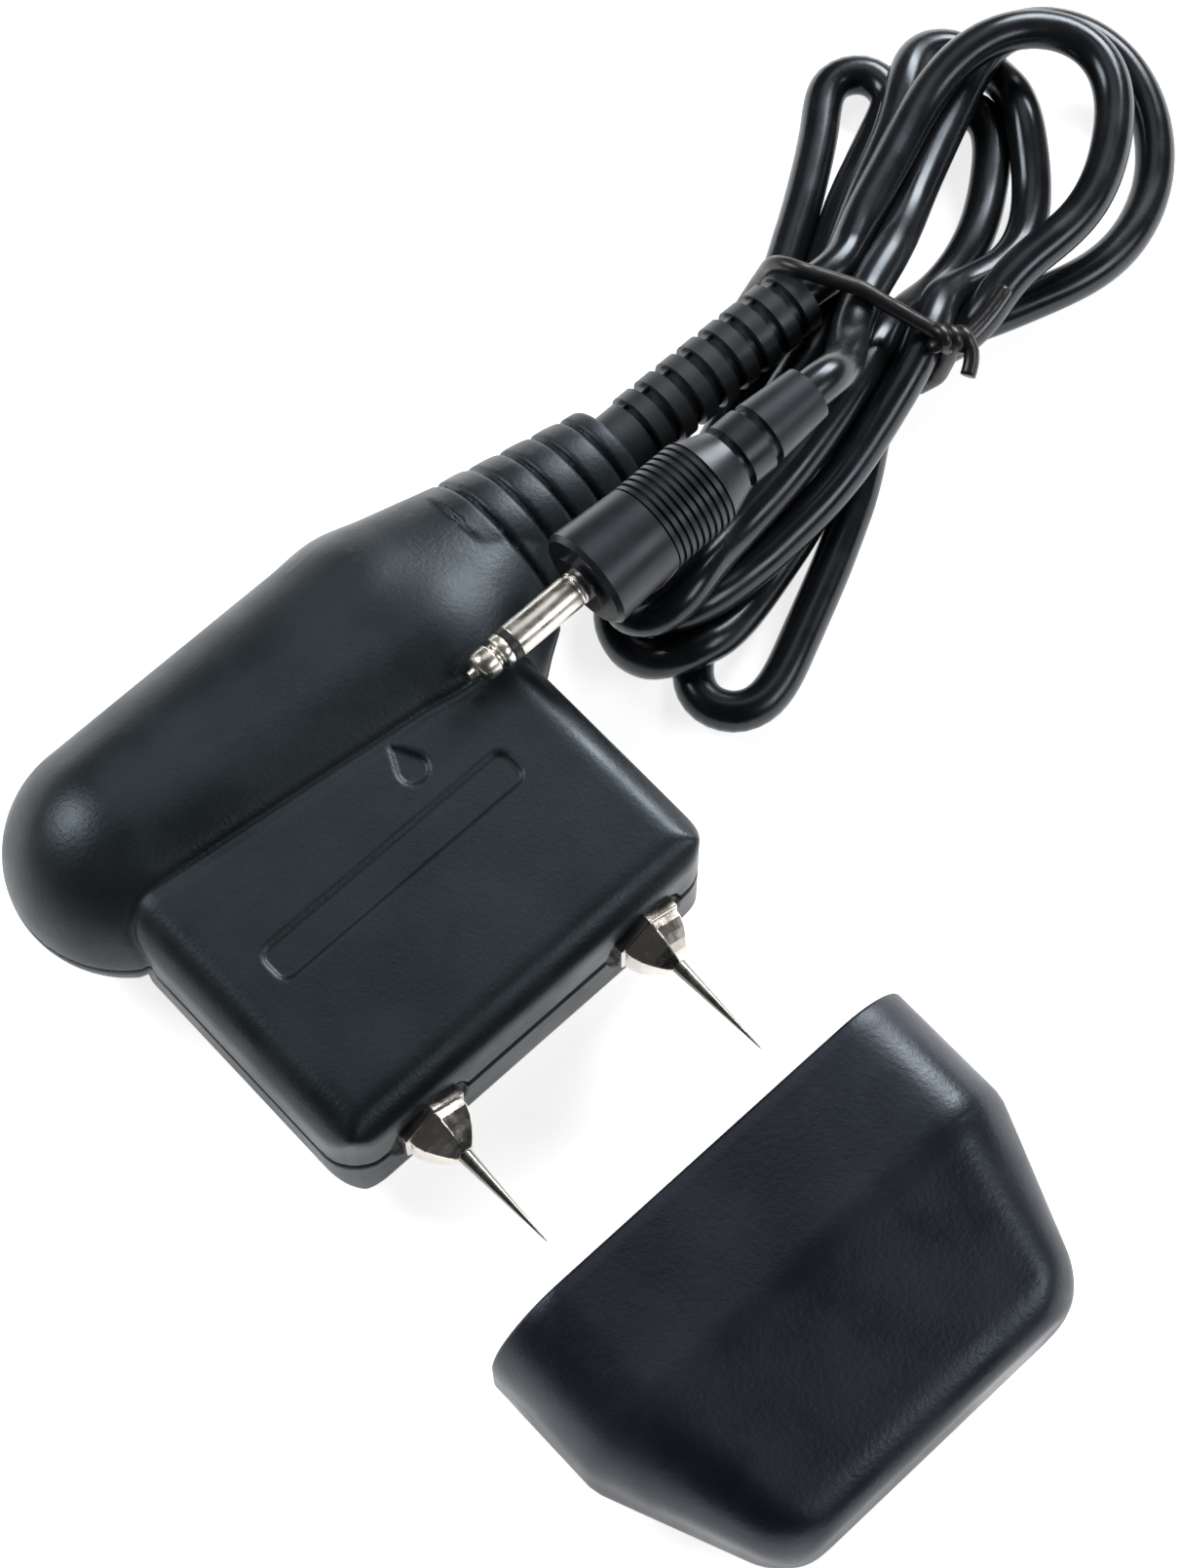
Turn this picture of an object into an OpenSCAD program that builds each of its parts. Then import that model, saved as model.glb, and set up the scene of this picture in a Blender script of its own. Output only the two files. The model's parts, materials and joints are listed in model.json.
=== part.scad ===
// Two-needle moisture probe: a moulded grip with a flat needle block, a lead with a 3.5 mm mono jack
// plug, tied in a hank, and a loose cap for the needles.
// Working axes: +X along the grip to the lead, -Y where the needles point, +Z through the thickness.

/* [Needles] */
// Distance between the two needle axes
pin_gap = 27; // [22:0.5:32]
// Needle length in front of its nut
needle_len = 10.9; // [8:0.1:16]
// Needle radius at the nut
needle_r = 0.75; // [0.5:0.05:1.2]
// Height of the conical nut in front of the pin face
nut_h = 4.9; // [3:0.1:7]
// Corner radius of the hexagonal nut
nut_r = 4.1; // [3:0.1:5]

/* [Block] */
// Width of the block along the grip
block_w = 46.2; // [40:0.2:52]
// Thickness of the block
block_t = 17; // [14:0.5:20]
// Rounding of the long edges
block_edge = 5.5; // [2:0.5:6]
// Rounding of the edges of the pin face
face_edge = 4.5; // [2:0.5:6]
// Corner radius at the pin face
block_corner = 5; // [3:0.5:8]
// Wall thickness of both shells
wall = 2.2; // [1.5:0.1:3]

/* [Grip] */
// Radius of the grip seen from above
grip_r = 12.1; // [10:0.1:14]
// Half thickness of the grip
grip_half = 10.9; // [9:0.1:12]
// Distance from the pin face to the grip axis
grip_y = 39.1; // [34:0.1:44]
// Centre of the round end
bulb_x = -16.7; // [-24:0.1:-10]
// Where the nose starts to narrow
taper_x = 14.7; // [8:0.1:20]
// End of the ribbed nose
nose_end = 45.5; // [40:0.5:52]

/* [Cap] */
// Gap between the pin face and the cap mouth, cap off
cap_gap = 21.5; // [18:0.5:30]
// Outer length of the cap
cap_len = 31.5; // [28:0.5:36]
// Outer width of the cap
cap_w = 51; // [48:0.2:56]
// Wall of the cap
cap_wall = 2; // [1.5:0.1:2.5]
// Depth of the straight part
cap_straight = 13.4; // [12:0.2:16]

/* [Jack plug] */
// Jack radius
jack_r = 1.75; // [1.25:0.25:3.15]
// Length of the plug barrel
barrel_len = 18.5; // [14:0.5:24]
// Barrel radius at the jack
barrel_r = 5.3; // [4:0.1:6]

/* [Lead] */
// Lead diameter
cord_d = 4.2; // [3:0.1:6]
// Height of the tied hank
hank_h = 14; // [10:0.5:18]

/* [Hidden] */
$fn = 96;
px = pin_gap / 2;
zscale = grip_half / grip_r;
cap_half = grip_half;
cap_y = -cap_gap;
origin_x = (bulb_x - grip_r + nose_end) / 2;
origin_y = (cap_y - cap_len + grip_y + grip_r) / 2;
skew_x = 16.6;
skew_y = 34.9;
relief_len = 26;
jack_y = 26.6;
jack_z = 11.2;
jack_x = 15.9;
tip_len = 4.6;
ring_len = 0.7;
shank_len = 9.2;
barrel_x = jack_x + tip_len + ring_len + shank_len;
plug_end = barrel_x + barrel_len + 11;
floor_z = -grip_half;
hank_top = floor_z + hank_h;
screw_at = [[-17.5, 17.5], [17.5, 17.5], [-13, 39.1]];
lead_route = [[29, 39.1, 0], [37, 39.1, 0], [45.5, 39.1, 0], [54, 39.1, 0], [63, 39.1, 0],
              [71.5, 39.1, 0], [74.5, 39.1, 0]];
tail_route = [[plug_end - 8, jack_y, jack_z], [plug_end, jack_y, jack_z], [64, 26.7, 11.1], [66, 26.8, 10.7],
              [68, 26.9, 9.8], [70, 27.1, 8.4], [71.6, 27.3, 6.6], [72.2, 27.4, 5.2], [72.3, 27.5, hank_top + 1],
              [72.3, 27.5, hank_top]];
left_wire = [[-(px - 5.5), wall + 7.7, 0], [-(px - 5.5), 12, 0], [-7.6, 15, 0], [-5, 22, 0], [0, 29, 0],
             [6, 34.5, 0], [12, 38.2, 0], [17, 39.8, 0], [22, 40.1, 0], [26, 40.1, 0], [29, 40.1, 0]];
right_wire = [[px - 5.5, wall + 7.7, 0], [px - 5.5, 12, 0], [7.6, 15, 0], [7, 22, 0], [9, 28, 0],
              [13, 33, 0], [17, 36.6, 0], [22, 37.8, 0], [26, 38.1, 0], [29, 38.1, 0]];

// ---------- helpers ----------
module home() translate([-origin_x, -origin_y, grip_half]) children();

module rod_x(r, x0, x1, y = 0, z = 0, r2 = -1)
  translate([x0, y, z]) rotate([0, 90, 0]) cylinder(h = x1 - x0, r1 = r, r2 = r2 < 0 ? r : r2);

module rod_y(r, y0, y1, x = 0, z = 0, r2 = -1)
  translate([x, y0, z]) rotate([-90, 0, 0]) cylinder(h = y1 - y0, r1 = r, r2 = r2 < 0 ? r : r2);

module round_rect(w, h, r) {
  square([w - 2 * r, h], center = true);
  square([w, h - 2 * r], center = true);
  for (sx = [-1, 1], sy = [-1, 1])
    translate([sx * (w / 2 - r), sy * (h / 2 - r)]) circle(r);
}

// closed tube along a list of points, one ring per point
function ring_dir(p, i) =
  let (a = p[max(i - 1, 0)], b = p[min(i + 1, len(p) - 1)], d = b - a) d / norm(d);
function ring_side(d) = let (s = cross(d, [0.03, 1, 0.02])) s / norm(s);
function tube_ring(p, i, r, n) =
  let (d = ring_dir(p, i), s = ring_side(d), t = cross(d, s))
  [for (k = [0 : n - 1]) p[i] + r * (s * cos(360 * k / n) + t * sin(360 * k / n))];
module tube(p, r, n = 10) {
  m = len(p);
  pts = [for (i = [0 : m - 1]) each tube_ring(p, i, r, n)];
  sides = [for (i = [0 : m - 2], k = [0 : n - 1])
             [i * n + k, i * n + (k + 1) % n, (i + 1) * n + (k + 1) % n, (i + 1) * n + k]];
  polyhedron(pts, concat([[for (k = [n - 1 : -1 : 0]) k]], sides, [[for (k = [0 : n - 1]) (m - 1) * n + k]]));
}

// round wire with ball joints at its bends
module wire(p, r) {
  for (i = [0 : len(p) - 2]) {
    d = p[i + 1] - p[i];
    translate(p[i])
      rotate([0, acos(d[2] / norm(d)), atan2(d[1], d[0])])
        cylinder(h = norm(d), r = r, $fn = 24);
  }
  for (i = [1 : max(1, len(p) - 2)]) translate(p[i]) sphere(r, $fn = 24);
}

// ---------- housing ----------
// the needle block, made smaller by g on every side
module block_form(g = 0) {
  depth = 38;
  w = block_w - 2 * g;
  t = block_t - 2 * g;
  intersection() {
    translate([0, g + 40, -block_t]) linear_extrude(2 * block_t)
      round_rect(w, 80, block_corner - g / 2);
    translate([0, depth, 0]) rotate([90, 0, 0]) linear_extrude(depth)
      round_rect(w, t, block_edge - g / 2);
    translate([-block_w / 2, g + 30, 0]) rotate([90, 0, 90]) linear_extrude(block_w)
      round_rect(60, t, face_edge - g / 2);
  }
}

// the round grip and the start of its nose, made smaller by g
module grip_form(g = 0) {
  r = grip_r - g;
  scale([1, 1, zscale]) hull() {
    translate([bulb_x, grip_y, 0]) sphere(r, $fn = 44);
    translate([taper_x, grip_y, 0]) sphere(r, $fn = 44);
    translate([skew_x, skew_y, 0]) sphere(r, $fn = 44);
    rod_x(7.9 - g, 30, 31, grip_y, $fn = 44);
  }
}

// four shallow bulging rings on the nose
module nose_form() {
  starts = [31.5, 35.2, 38.8, 42.4];
  rod_x(7.2, 29, 31.6, grip_y);
  for (s = starts) {
    r = 8.0 - (s - 31) * 0.2;
    rod_x(r - 0.5, s - 0.6, s + 0.3, grip_y);
    rod_x(r - 0.4, s, s + 0.9, grip_y, 0, r);
    rod_x(r, s + 0.9, s + 2.2, grip_y, 0, r - 0.25);
    rod_x(r - 0.25, s + 2.2, s + 3.1, grip_y, 0, r - 0.85);
  }
}

module screw_posts(r, z0, z1)
  for (p = screw_at) translate([p[0], p[1], z0]) cylinder(h = z1 - z0, r = r);

module housing() {
  difference() {
    union() {
      block_form();
      grip_form();
      nose_form();
    }
    difference() {
      union() {
        block_form(wall);
        grip_form(wall + 0.2);
      }
      translate([27, -1, -20]) cube([30, 60, 40]);
      screw_posts(3.1, -20, 20);
    }
    // nose bore, anchor seat and the groove that holds the strain relief
    rod_x(4.6, 26, 33, grip_y);
    rod_x(2.3, 33, 39.5, grip_y);
    rod_x(4.3, 34.5, 38, grip_y);
    rod_x(4.6, 39.4, 41.6, grip_y);
    rod_x(3.5, 41.4, nose_end + 1, grip_y);
    // post holes and the round recesses around the nuts
    for (s = [-1, 1]) {
      rod_y(2.1, -1, wall + 1, s * px);
      rod_y(4.7, -1, 0.8, s * px);
    }
  }
}

// shallow line around the block where the two shells meet
module seam() {
  difference() {
    translate([-40, -5, -0.3]) cube([80, 33, 0.6]);
    translate([0, 0.5, -1]) linear_extrude(2) translate([0, 25])
      round_rect(block_w - 1, 50, block_corner);
  }
}

module mark() {
  // blank name strip and a water drop, pressed into the top of the block
  translate([-1, 18.4, block_t / 2 - 0.35]) linear_extrude(1) round_rect(30, 3.8, 1.2);
  translate([6.6, 24.3, block_t / 2 - 0.35]) linear_extrude(1) {
    circle(1.5);
    polygon([[-1.41, 0.5], [0, 3.2], [1.41, 0.5]]);
  }
}

module upper_shell() color([0.13, 0.15, 0.16]) home()
  difference() {
    intersection() {
      housing();
      translate([-60, -10, 0]) cube([150, 80, 30]);
    }
    seam();
    mark();
    screw_posts(1.2, -1, 6);
  }

module lower_shell() color([0.13, 0.15, 0.16]) home()
  difference() {
    intersection() {
      housing();
      translate([-60, -10, -30]) cube([150, 80, 30]);
    }
    seam();
    screw_posts(1.35, -20, 1);
    screw_posts(2.6, -20, -5.3);
  }

module case_screws() color([0.62, 0.62, 0.6]) home() {
  difference() {
    union() {
      screw_posts(2.4, -7.1, -5.3);
      screw_posts(1.15, -5.4, 5);
    }
    for (p = screw_at, a = [0, 90])
      translate([p[0], p[1], -7.1]) rotate([0, 0, a]) cube([2.6, 0.55, 2], center = true);
  }
}

// ---------- needles and their fittings ----------
module pin_carrier() color([0.75, 0.72, 0.62]) home()
  difference() {
    intersection() {
      translate([-18, 0, -10]) cube([36, wall + 7, 20]);
      block_form(wall + 0.1);
    }
    for (s = [-1, 1]) {
      rod_y(2.05, 0, 20, s * px);
      rod_y(2.85, 0, wall + 1.25, s * px);
    }
    translate([-7, wall + 3, -10]) cube([14, 20, 20]);
  }

module terminal_post(s) color([0.8, 0.66, 0.36]) home() {
  rod_y(2, -2.3, 15, s * px);
  rod_y(2.8, wall, wall + 1.2, s * px);
}
module terminal_post_left() terminal_post(-1);
module terminal_post_right() terminal_post(1);

module collet_nut(s) color([0.78, 0.76, 0.7]) home()
  difference() {
    union() {
      translate([s * px, 0.8, 0]) rotate([90, 0, 0]) cylinder(h = 1.4, r = nut_r, $fn = 6);
      translate([s * px, -0.6, 0]) rotate([90, 0, 0])
        cylinder(h = nut_h - 1.2, r1 = nut_r, r2 = 1.7, $fn = 6);
      rod_y(1.35, -nut_h, -nut_h + 0.8, s * px);
    }
    rod_y(2.05, -2.35, 2, s * px);
    rod_y(1.55, -3.05, -2, s * px);
    rod_y(needle_r + 0.05, -10, 0, s * px);
  }
module collet_nut_left() collet_nut(-1);
module collet_nut_right() collet_nut(1);

module needle(s) color([0.7, 0.68, 0.64]) home() {
  rod_y(1.5, -3.0, -2.4, s * px);
  rod_y(needle_r, -nut_h, -2.8, s * px);
  rod_y(0.06, -nut_h - needle_len, -nut_h, s * px, 0, needle_r);
}
module needle_left() needle(-1);
module needle_right() needle(1);

module solder_tag(s) color([0.8, 0.78, 0.72]) home()
  difference() {
    union() {
      rod_y(3.4, wall + 7, wall + 7.7, s * px);
      translate([s * px - s * 5.5 - 1.2, wall + 7, -1.2]) cube([2.4, 0.7, 2.4]);
      translate([s * (px - 2.7) - 2.8, wall + 7, -1.2]) cube([5.6, 0.7, 2.4]);
    }
    rod_y(2.05, 0, 20, s * px);
  }
module solder_tag_left() solder_tag(-1);
module solder_tag_right() solder_tag(1);

module post_nut(s) color([0.8, 0.78, 0.72]) home()
  difference() {
    translate([s * px, wall + 10.5, 0]) rotate([90, 0, 0]) cylinder(h = 2.8, r = 4, $fn = 6);
    rod_y(2.05, 0, 20, s * px);
  }
module post_nut_left() post_nut(-1);
module post_nut_right() post_nut(1);

module core_wire_left() color([0.1, 0.1, 0.1]) home() tube(left_wire, 0.75, 8);
module core_wire_right() color([0.6, 0.1, 0.08]) home() tube(right_wire, 0.75, 8);

module cord_anchor() color([0.7, 0.7, 0.7]) home()
  difference() {
    rod_x(4.25, 34.6, 37.9, grip_y);
    rod_x(2.2, 30, 40, grip_y);
  }

// ---------- lead ----------
module strain_relief() color([0.1, 0.11, 0.12]) home()
  difference() {
    union() {
      rod_x(4.5, 39.6, 41.4, grip_y);
      rod_x(3.4, 41.2, nose_end + 0.4, grip_y);
      translate([nose_end, grip_y, 0]) {
        rod_x(3.6, 0.1, 3.2);
        rod_x(2.9, 3, relief_len);
        for (i = [0 : 7]) rod_x(3.85 - 0.03 * i, 3.9 + 2.9 * i, 5.6 + 2.9 * i);
        rotate([45, 0, 0]) translate([3, -3.3, -0.8]) cube([relief_len - 3.5, 6.6, 1.6]);
      }
    }
    rod_x(2.2, 38, nose_end + relief_len + 1, grip_y);
  }

module cord_lead() color([0.05, 0.05, 0.06]) home() tube(lead_route, cord_d / 2);

module cord_tail() color([0.05, 0.05, 0.06]) home() tube(tail_route, cord_d / 2);

module tie_frame() translate([75.2, 32.5, 0]) rotate([0, 0, 21.2]) children();

module cord_hank() color([0.05, 0.05, 0.06]) home()
  difference() {
    translate([0, 0, floor_z]) linear_extrude(hank_h)
      polygon([[33.5, 13], [36, 9.5], [41, 9], [47, 10.5], [55, 13.5], [62, 17], [68, 20.5], [75, 23.5],
               [82, 23], [90, 20.5], [98, 19.5], [104, 20], [111, 23], [117, 28.5], [122, 36],
               [123, 42], [120, 47.5], [113, 52.5], [104, 57.5], [97, 58.5], [91, 56.5], [84, 52],
               [77, 47.5], [74.5, 45], [74.5, 34], [66, 31], [56, 29.5], [46, 29], [36, 27.5],
               [33, 22]]);
    tie_frame() translate([-1.1, -20, floor_z - 1]) cube([2.2, 40, 2.95]);
  }

module twist_tie() color([0.06, 0.06, 0.07]) home() tie_frame() {
  z0 = floor_z + 0.95;
  z1 = hank_top + 1;
  wire([[0, 12.4, z0], [0, -12.6, z0]], 0.9);
  wire([[0, 12.4, z1], [0, -12.6, z1]], 0.9);
  wire([[0, 12.4, z0], [0, 12.4, z1]], 0.9);
  wire([[0, -12.6, z0], [0, -12.6, z1]], 0.9);
  for (y = [12.4, -12.6], z = [z0, z1]) translate([0, y, z]) sphere(0.9, $fn = 24);
  wire([[0, -12.6, z1], [0.6, -14, z1 + 0.4], [2.2, -16.4, z1 + 0.2], [4.5, -17.5, z1 - 1]], 1.1);
}

// ---------- plug ----------
module plug_body() color([0.07, 0.07, 0.08]) home()
  difference() {
    union() {
      rod_x(3.1, barrel_x - 0.6, barrel_x + 0.1, jack_y, jack_z);
      rod_x(barrel_r - 0.5, barrel_x, barrel_x + 0.5, jack_y, jack_z, barrel_r);
      rod_x(barrel_r, barrel_x + 0.5, barrel_x + 8, jack_y, jack_z, barrel_r - 0.5);
      rod_x(barrel_r - 0.9, barrel_x + 8, barrel_x + 15.5, jack_y, jack_z);
      for (i = [0 : 8])
        rod_x(barrel_r - 0.5, barrel_x + 8.2 + 0.8 * i, barrel_x + 8.65 + 0.8 * i, jack_y, jack_z);
      rod_x(barrel_r - 0.6, barrel_x + 15.4, barrel_x + barrel_len, jack_y, jack_z, barrel_r - 1.7);
      rod_x(2.8, barrel_x + barrel_len - 0.1, barrel_x + barrel_len + 10.8, jack_y, jack_z);
      rod_x(3.5, barrel_x + barrel_len + 0.9, barrel_x + barrel_len + 3.6, jack_y, jack_z);
      rod_x(3.4, barrel_x + barrel_len + 4.6, plug_end, jack_y, jack_z, 2.9);
    }
    rod_x(2.15, plug_end - 8, plug_end + 1, jack_y, jack_z);
    rod_x(1.35, barrel_x - 1, barrel_x + 6, jack_y, jack_z);
  }

module jack_sleeve() color([0.8, 0.78, 0.72]) home()
  difference() {
    union() {
      rod_x(jack_r, jack_x + tip_len + ring_len, barrel_x - 0.6, jack_y, jack_z);
      rod_x(1.3, barrel_x - 0.7, barrel_x + 6, jack_y, jack_z);
    }
    rod_x(1.0, jack_x, barrel_x + 7, jack_y, jack_z);
  }

module jack_insulator() color([0.03, 0.03, 0.03]) home()
  difference() {
    union() {
      rod_x(jack_r, jack_x + tip_len, jack_x + tip_len + ring_len, jack_y, jack_z);
      rod_x(0.97, jack_x + tip_len, barrel_x + 6, jack_y, jack_z);
    }
    rod_x(0.63, jack_x, barrel_x + 7, jack_y, jack_z);
  }

module jack_tip() color([0.8, 0.78, 0.72]) home() {
  rod_x(0.6, jack_x + tip_len - 0.1, barrel_x + 5.9, jack_y, jack_z);
  rod_x(0.5, jack_x, jack_x + 1.5, jack_y, jack_z, jack_r - 0.05);
  rod_x(jack_r - 0.05, jack_x + 1.5, jack_x + 2.3, jack_y, jack_z, 1.25);
  rod_x(1.25, jack_x + 2.3, jack_x + 3.3, jack_y, jack_z, jack_r);
  rod_x(jack_r, jack_x + 3.3, jack_x + tip_len, jack_y, jack_z);
}

// ---------- cap ----------
// outer or inner form of the cap from depth y0 to y1, made smaller by g
module cap_slice(w, t, r, y)
  translate([0, y, 0]) rotate([90, 0, 0]) linear_extrude(0.02) round_rect(w, t, r, $fn = 48);

module cap_form(g, y0) {
  end = -cap_len + g;
  k = g * 1.3;
  // straight mouth part
  translate([0, y0, 0]) rotate([90, 0, 0])
    linear_extrude(cap_straight + y0) round_rect(cap_w - 2 * g, 2 * cap_half - 2 * g, 8.4 - k, $fn = 96);
  // narrowing part and the rounded end
  hull() {
    cap_slice(cap_w - 2 * g, 2 * cap_half - 2 * g, 8.4 - k, -cap_straight + 0.02);
    cap_slice(39.6 - 2 * g, 13.6 - 2 * g, 5 - k * 0.7, end + 4);
    cap_slice(37.6 - 2 * g, 12.2 - 2 * g, 4.4 - k * 0.7, end + 1.9);
    cap_slice(34.2 - 2 * g, 9.6 - 2 * g, 3.2 - k * 0.5, end + 0.5);
    cap_slice(31 - 2 * g, 7 - 2 * g, 1.9 - k * 0.4, end + 0.02);
  }
}

module cap() color([0.11, 0.12, 0.15]) home() translate([0, cap_y, 0])
  difference() {
    cap_form(0, 0);
    cap_form(cap_wall, 0.5);
  }

upper_shell();
lower_shell();
case_screws();
pin_carrier();
terminal_post_left();
terminal_post_right();
collet_nut_left();
collet_nut_right();
needle_left();
needle_right();
solder_tag_left();
solder_tag_right();
post_nut_left();
post_nut_right();
core_wire_left();
core_wire_right();
cord_anchor();
strain_relief();
cord_lead();
cord_hank();
cord_tail();
plug_body();
jack_sleeve();
jack_insulator();
jack_tip();
twist_tie();
cap();
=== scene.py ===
import bpy
import json
import math
import numpy as np
from mathutils import Vector, Matrix


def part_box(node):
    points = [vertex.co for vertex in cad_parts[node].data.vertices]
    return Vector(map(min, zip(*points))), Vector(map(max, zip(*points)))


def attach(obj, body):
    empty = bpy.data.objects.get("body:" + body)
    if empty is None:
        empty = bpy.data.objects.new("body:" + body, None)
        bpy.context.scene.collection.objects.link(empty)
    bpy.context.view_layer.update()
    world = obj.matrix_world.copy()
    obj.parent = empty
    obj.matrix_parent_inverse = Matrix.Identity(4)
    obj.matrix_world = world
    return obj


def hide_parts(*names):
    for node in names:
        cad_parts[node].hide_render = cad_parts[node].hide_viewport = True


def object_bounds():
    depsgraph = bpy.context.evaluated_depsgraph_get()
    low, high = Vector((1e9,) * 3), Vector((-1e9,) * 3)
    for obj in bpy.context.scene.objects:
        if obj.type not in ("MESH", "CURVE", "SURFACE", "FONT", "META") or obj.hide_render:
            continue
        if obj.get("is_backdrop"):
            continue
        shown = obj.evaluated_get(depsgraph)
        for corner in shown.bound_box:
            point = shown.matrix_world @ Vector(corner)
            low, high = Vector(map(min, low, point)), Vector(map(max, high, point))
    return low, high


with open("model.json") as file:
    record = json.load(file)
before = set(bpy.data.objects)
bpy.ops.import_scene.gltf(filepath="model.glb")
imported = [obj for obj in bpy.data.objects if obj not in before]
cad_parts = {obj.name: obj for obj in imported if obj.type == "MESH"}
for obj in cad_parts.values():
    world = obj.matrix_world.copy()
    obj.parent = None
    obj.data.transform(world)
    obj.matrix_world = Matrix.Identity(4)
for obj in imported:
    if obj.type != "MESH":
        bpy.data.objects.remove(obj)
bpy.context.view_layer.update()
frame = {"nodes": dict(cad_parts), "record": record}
scene = bpy.context.scene
node = frame["nodes"]

# ---------------------------------------------------------------- working frame
# millimetres, pin face at y = 0, middle plane at z = 0, needles at x = -13.5 and 13.5
OX, OY, OZ = 8.35, -0.9, -10.9
FLOOR = OZ
NEEDLE_X = (-13.5, 13.5)


def P(x, y, z):
    return Vector(((x - OX) / 1000, (y - OY) / 1000, (z - OZ) / 1000))


def to_row(a):
    return (np.asarray(a, float) - np.array([OX, OY, OZ])) / 1000


def toward(azimuth, elevation):
    """Unit vector from the object to something at this azimuth and elevation, in degrees."""
    a, e = math.radians(azimuth), math.radians(elevation)
    return Vector((math.sin(a) * math.cos(e), -math.cos(a) * math.cos(e), math.sin(e)))


# ---------------------------------------------------------------- camera
VIEW_AZIMUTH, VIEW_ELEVATION, VIEW_ROLL = -42.06, 67.67, -0.86
VIEW_CENTRE = (19.94, 14.45, 0)
VIEW_DISTANCE = 0.35125
FOCAL_PIXELS, IMAGE_HEIGHT = 3771.92, 1609
SENSOR = 36


def make_camera():
    a, roll = math.radians(VIEW_AZIMUTH), math.radians(VIEW_ROLL)
    back = toward(VIEW_AZIMUTH, VIEW_ELEVATION)
    right = Vector((math.cos(a), math.sin(a), 0))
    up = back.cross(right)
    r2 = right * math.cos(roll) + up * math.sin(roll)
    u2 = up * math.cos(roll) - right * math.sin(roll)
    data = bpy.data.cameras.new("camera")
    cam = bpy.data.objects.new("camera", data)
    scene.collection.objects.link(cam)
    data.sensor_fit = "VERTICAL"
    data.sensor_height = SENSOR
    data.sensor_width = SENSOR
    data.lens = SENSOR * FOCAL_PIXELS / IMAGE_HEIGHT
    data.clip_start, data.clip_end = 0.01, 10
    m = Matrix((r2, u2, back)).transposed().to_4x4()
    m.translation = P(*VIEW_CENTRE) + back * VIEW_DISTANCE
    cam.matrix_world = m
    scene.camera = cam


make_camera()


# ---------------------------------------------------------------- mesh helpers
def mesh_object(name, verts, faces, material=None, smooth=True, body="probe"):
    me = bpy.data.meshes.new(name)
    me.from_pydata([tuple(v) for v in verts], [], [tuple(f) for f in faces])
    me.validate()
    me.update()
    ob = bpy.data.objects.new(name, me)
    scene.collection.objects.link(ob)
    if smooth:
        me.polygons.foreach_set("use_smooth", np.ones(len(me.polygons), bool))
    if material:
        me.materials.append(material)
    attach(ob, body)
    return ob


def surface_net(f, lo, hi, h):
    """Closed quad mesh of f = 0, with its points moved onto the surface. f takes x, y, z arrays, in mm."""
    ax = [np.arange(lo[k], hi[k] + h, h) for k in range(3)]
    n = [len(a) for a in ax]
    v = np.empty(n, np.float32)
    for i in range(0, n[0], 16):
        gx, gy, gz = np.meshgrid(ax[0][i:i + 16], ax[1], ax[2], indexing="ij")
        v[i:i + 16] = f(gx, gy, gz)
    total = np.zeros((n[0] - 1, n[1] - 1, n[2] - 1, 3), np.float32)
    count = np.zeros((n[0] - 1, n[1] - 1, n[2] - 1), np.int32)
    edges = []
    for a in range(3):
        s0 = [slice(None)] * 3
        s1 = [slice(None)] * 3
        s0[a], s1[a] = slice(0, -1), slice(1, None)
        v0, v1 = v[tuple(s0)], v[tuple(s1)]
        idx = np.argwhere((v0 < 0) != (v1 < 0))
        b0 = v0[tuple(idx.T)]
        b1 = v1[tuple(idx.T)]
        t = b0 / (b0 - b1)
        pt = idx.astype(np.float32)
        pt[:, a] += t
        b, c = (a + 1) % 3, (a + 2) % 3
        ok = (idx[:, b] > 0) & (idx[:, c] > 0) & (idx[:, b] < n[b] - 1) & (idx[:, c] < n[c] - 1)
        idx, pt, b0 = idx[ok], pt[ok], b0[ok]
        for db in (0, 1):
            for dc in (0, 1):
                cell = idx.copy()
                cell[:, b] -= db
                cell[:, c] -= dc
                np.add.at(total, tuple(cell.T), pt)
                np.add.at(count, tuple(cell.T), 1)
        edges.append((a, idx, b0 < 0))
    used = count > 0
    number = np.full(used.shape, -1, np.int64)
    number[used] = np.arange(used.sum())
    p = total[used] / count[used][:, None] * h + np.array(lo)
    p = p.astype(float)
    faces = []
    for a, idx, inside in edges:
        b, c = (a + 1) % 3, (a + 2) % 3
        q = []
        for db, dc in ((1, 1), (0, 1), (0, 0), (1, 0)):
            cell = idx.copy()
            cell[:, b] -= db
            cell[:, c] -= dc
            q.append(number[tuple(cell.T)])
        q = np.stack(q, 1)
        q[~inside] = q[~inside][:, ::-1]
        faces.append(q)
    faces = np.vstack(faces)
    e = 0.02
    for _ in range(5):
        w = f(*p.T)
        g = np.stack([(f(p[:, 0] + e * (k == 0), p[:, 1] + e * (k == 1), p[:, 2] + e * (k == 2))
                       - f(p[:, 0] - e * (k == 0), p[:, 1] - e * (k == 1), p[:, 2] - e * (k == 2))) / (2 * e)
                      for k in range(3)], 1)
        step = (w / np.maximum((g * g).sum(1), 0.2))[:, None] * g
        size = np.linalg.norm(step, axis=1)[:, None]
        p -= step * np.minimum(1, 0.5 * h / np.maximum(size, 1e-9))
    return p, faces


def loft(rings, close_start=False, close_end=False):
    """Quads between rings of equal count. A closed end gets a fan round its centre."""
    n = len(rings[0])
    verts = [p for r in rings for p in r]
    faces = []
    for i in range(len(rings) - 1):
        for k in range(n):
            faces.append((i * n + k, i * n + (k + 1) % n, (i + 1) * n + (k + 1) % n, (i + 1) * n + k))
    for flag, i in ((close_start, 0), (close_end, len(rings) - 1)):
        if flag:
            c = len(verts)
            verts.append(np.mean(rings[i], axis=0))
            for k in range(n):
                f = (i * n + (k + 1) % n, i * n + k, c)
                faces.append(f if i == 0 else f[::-1])
    return verts, faces


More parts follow.
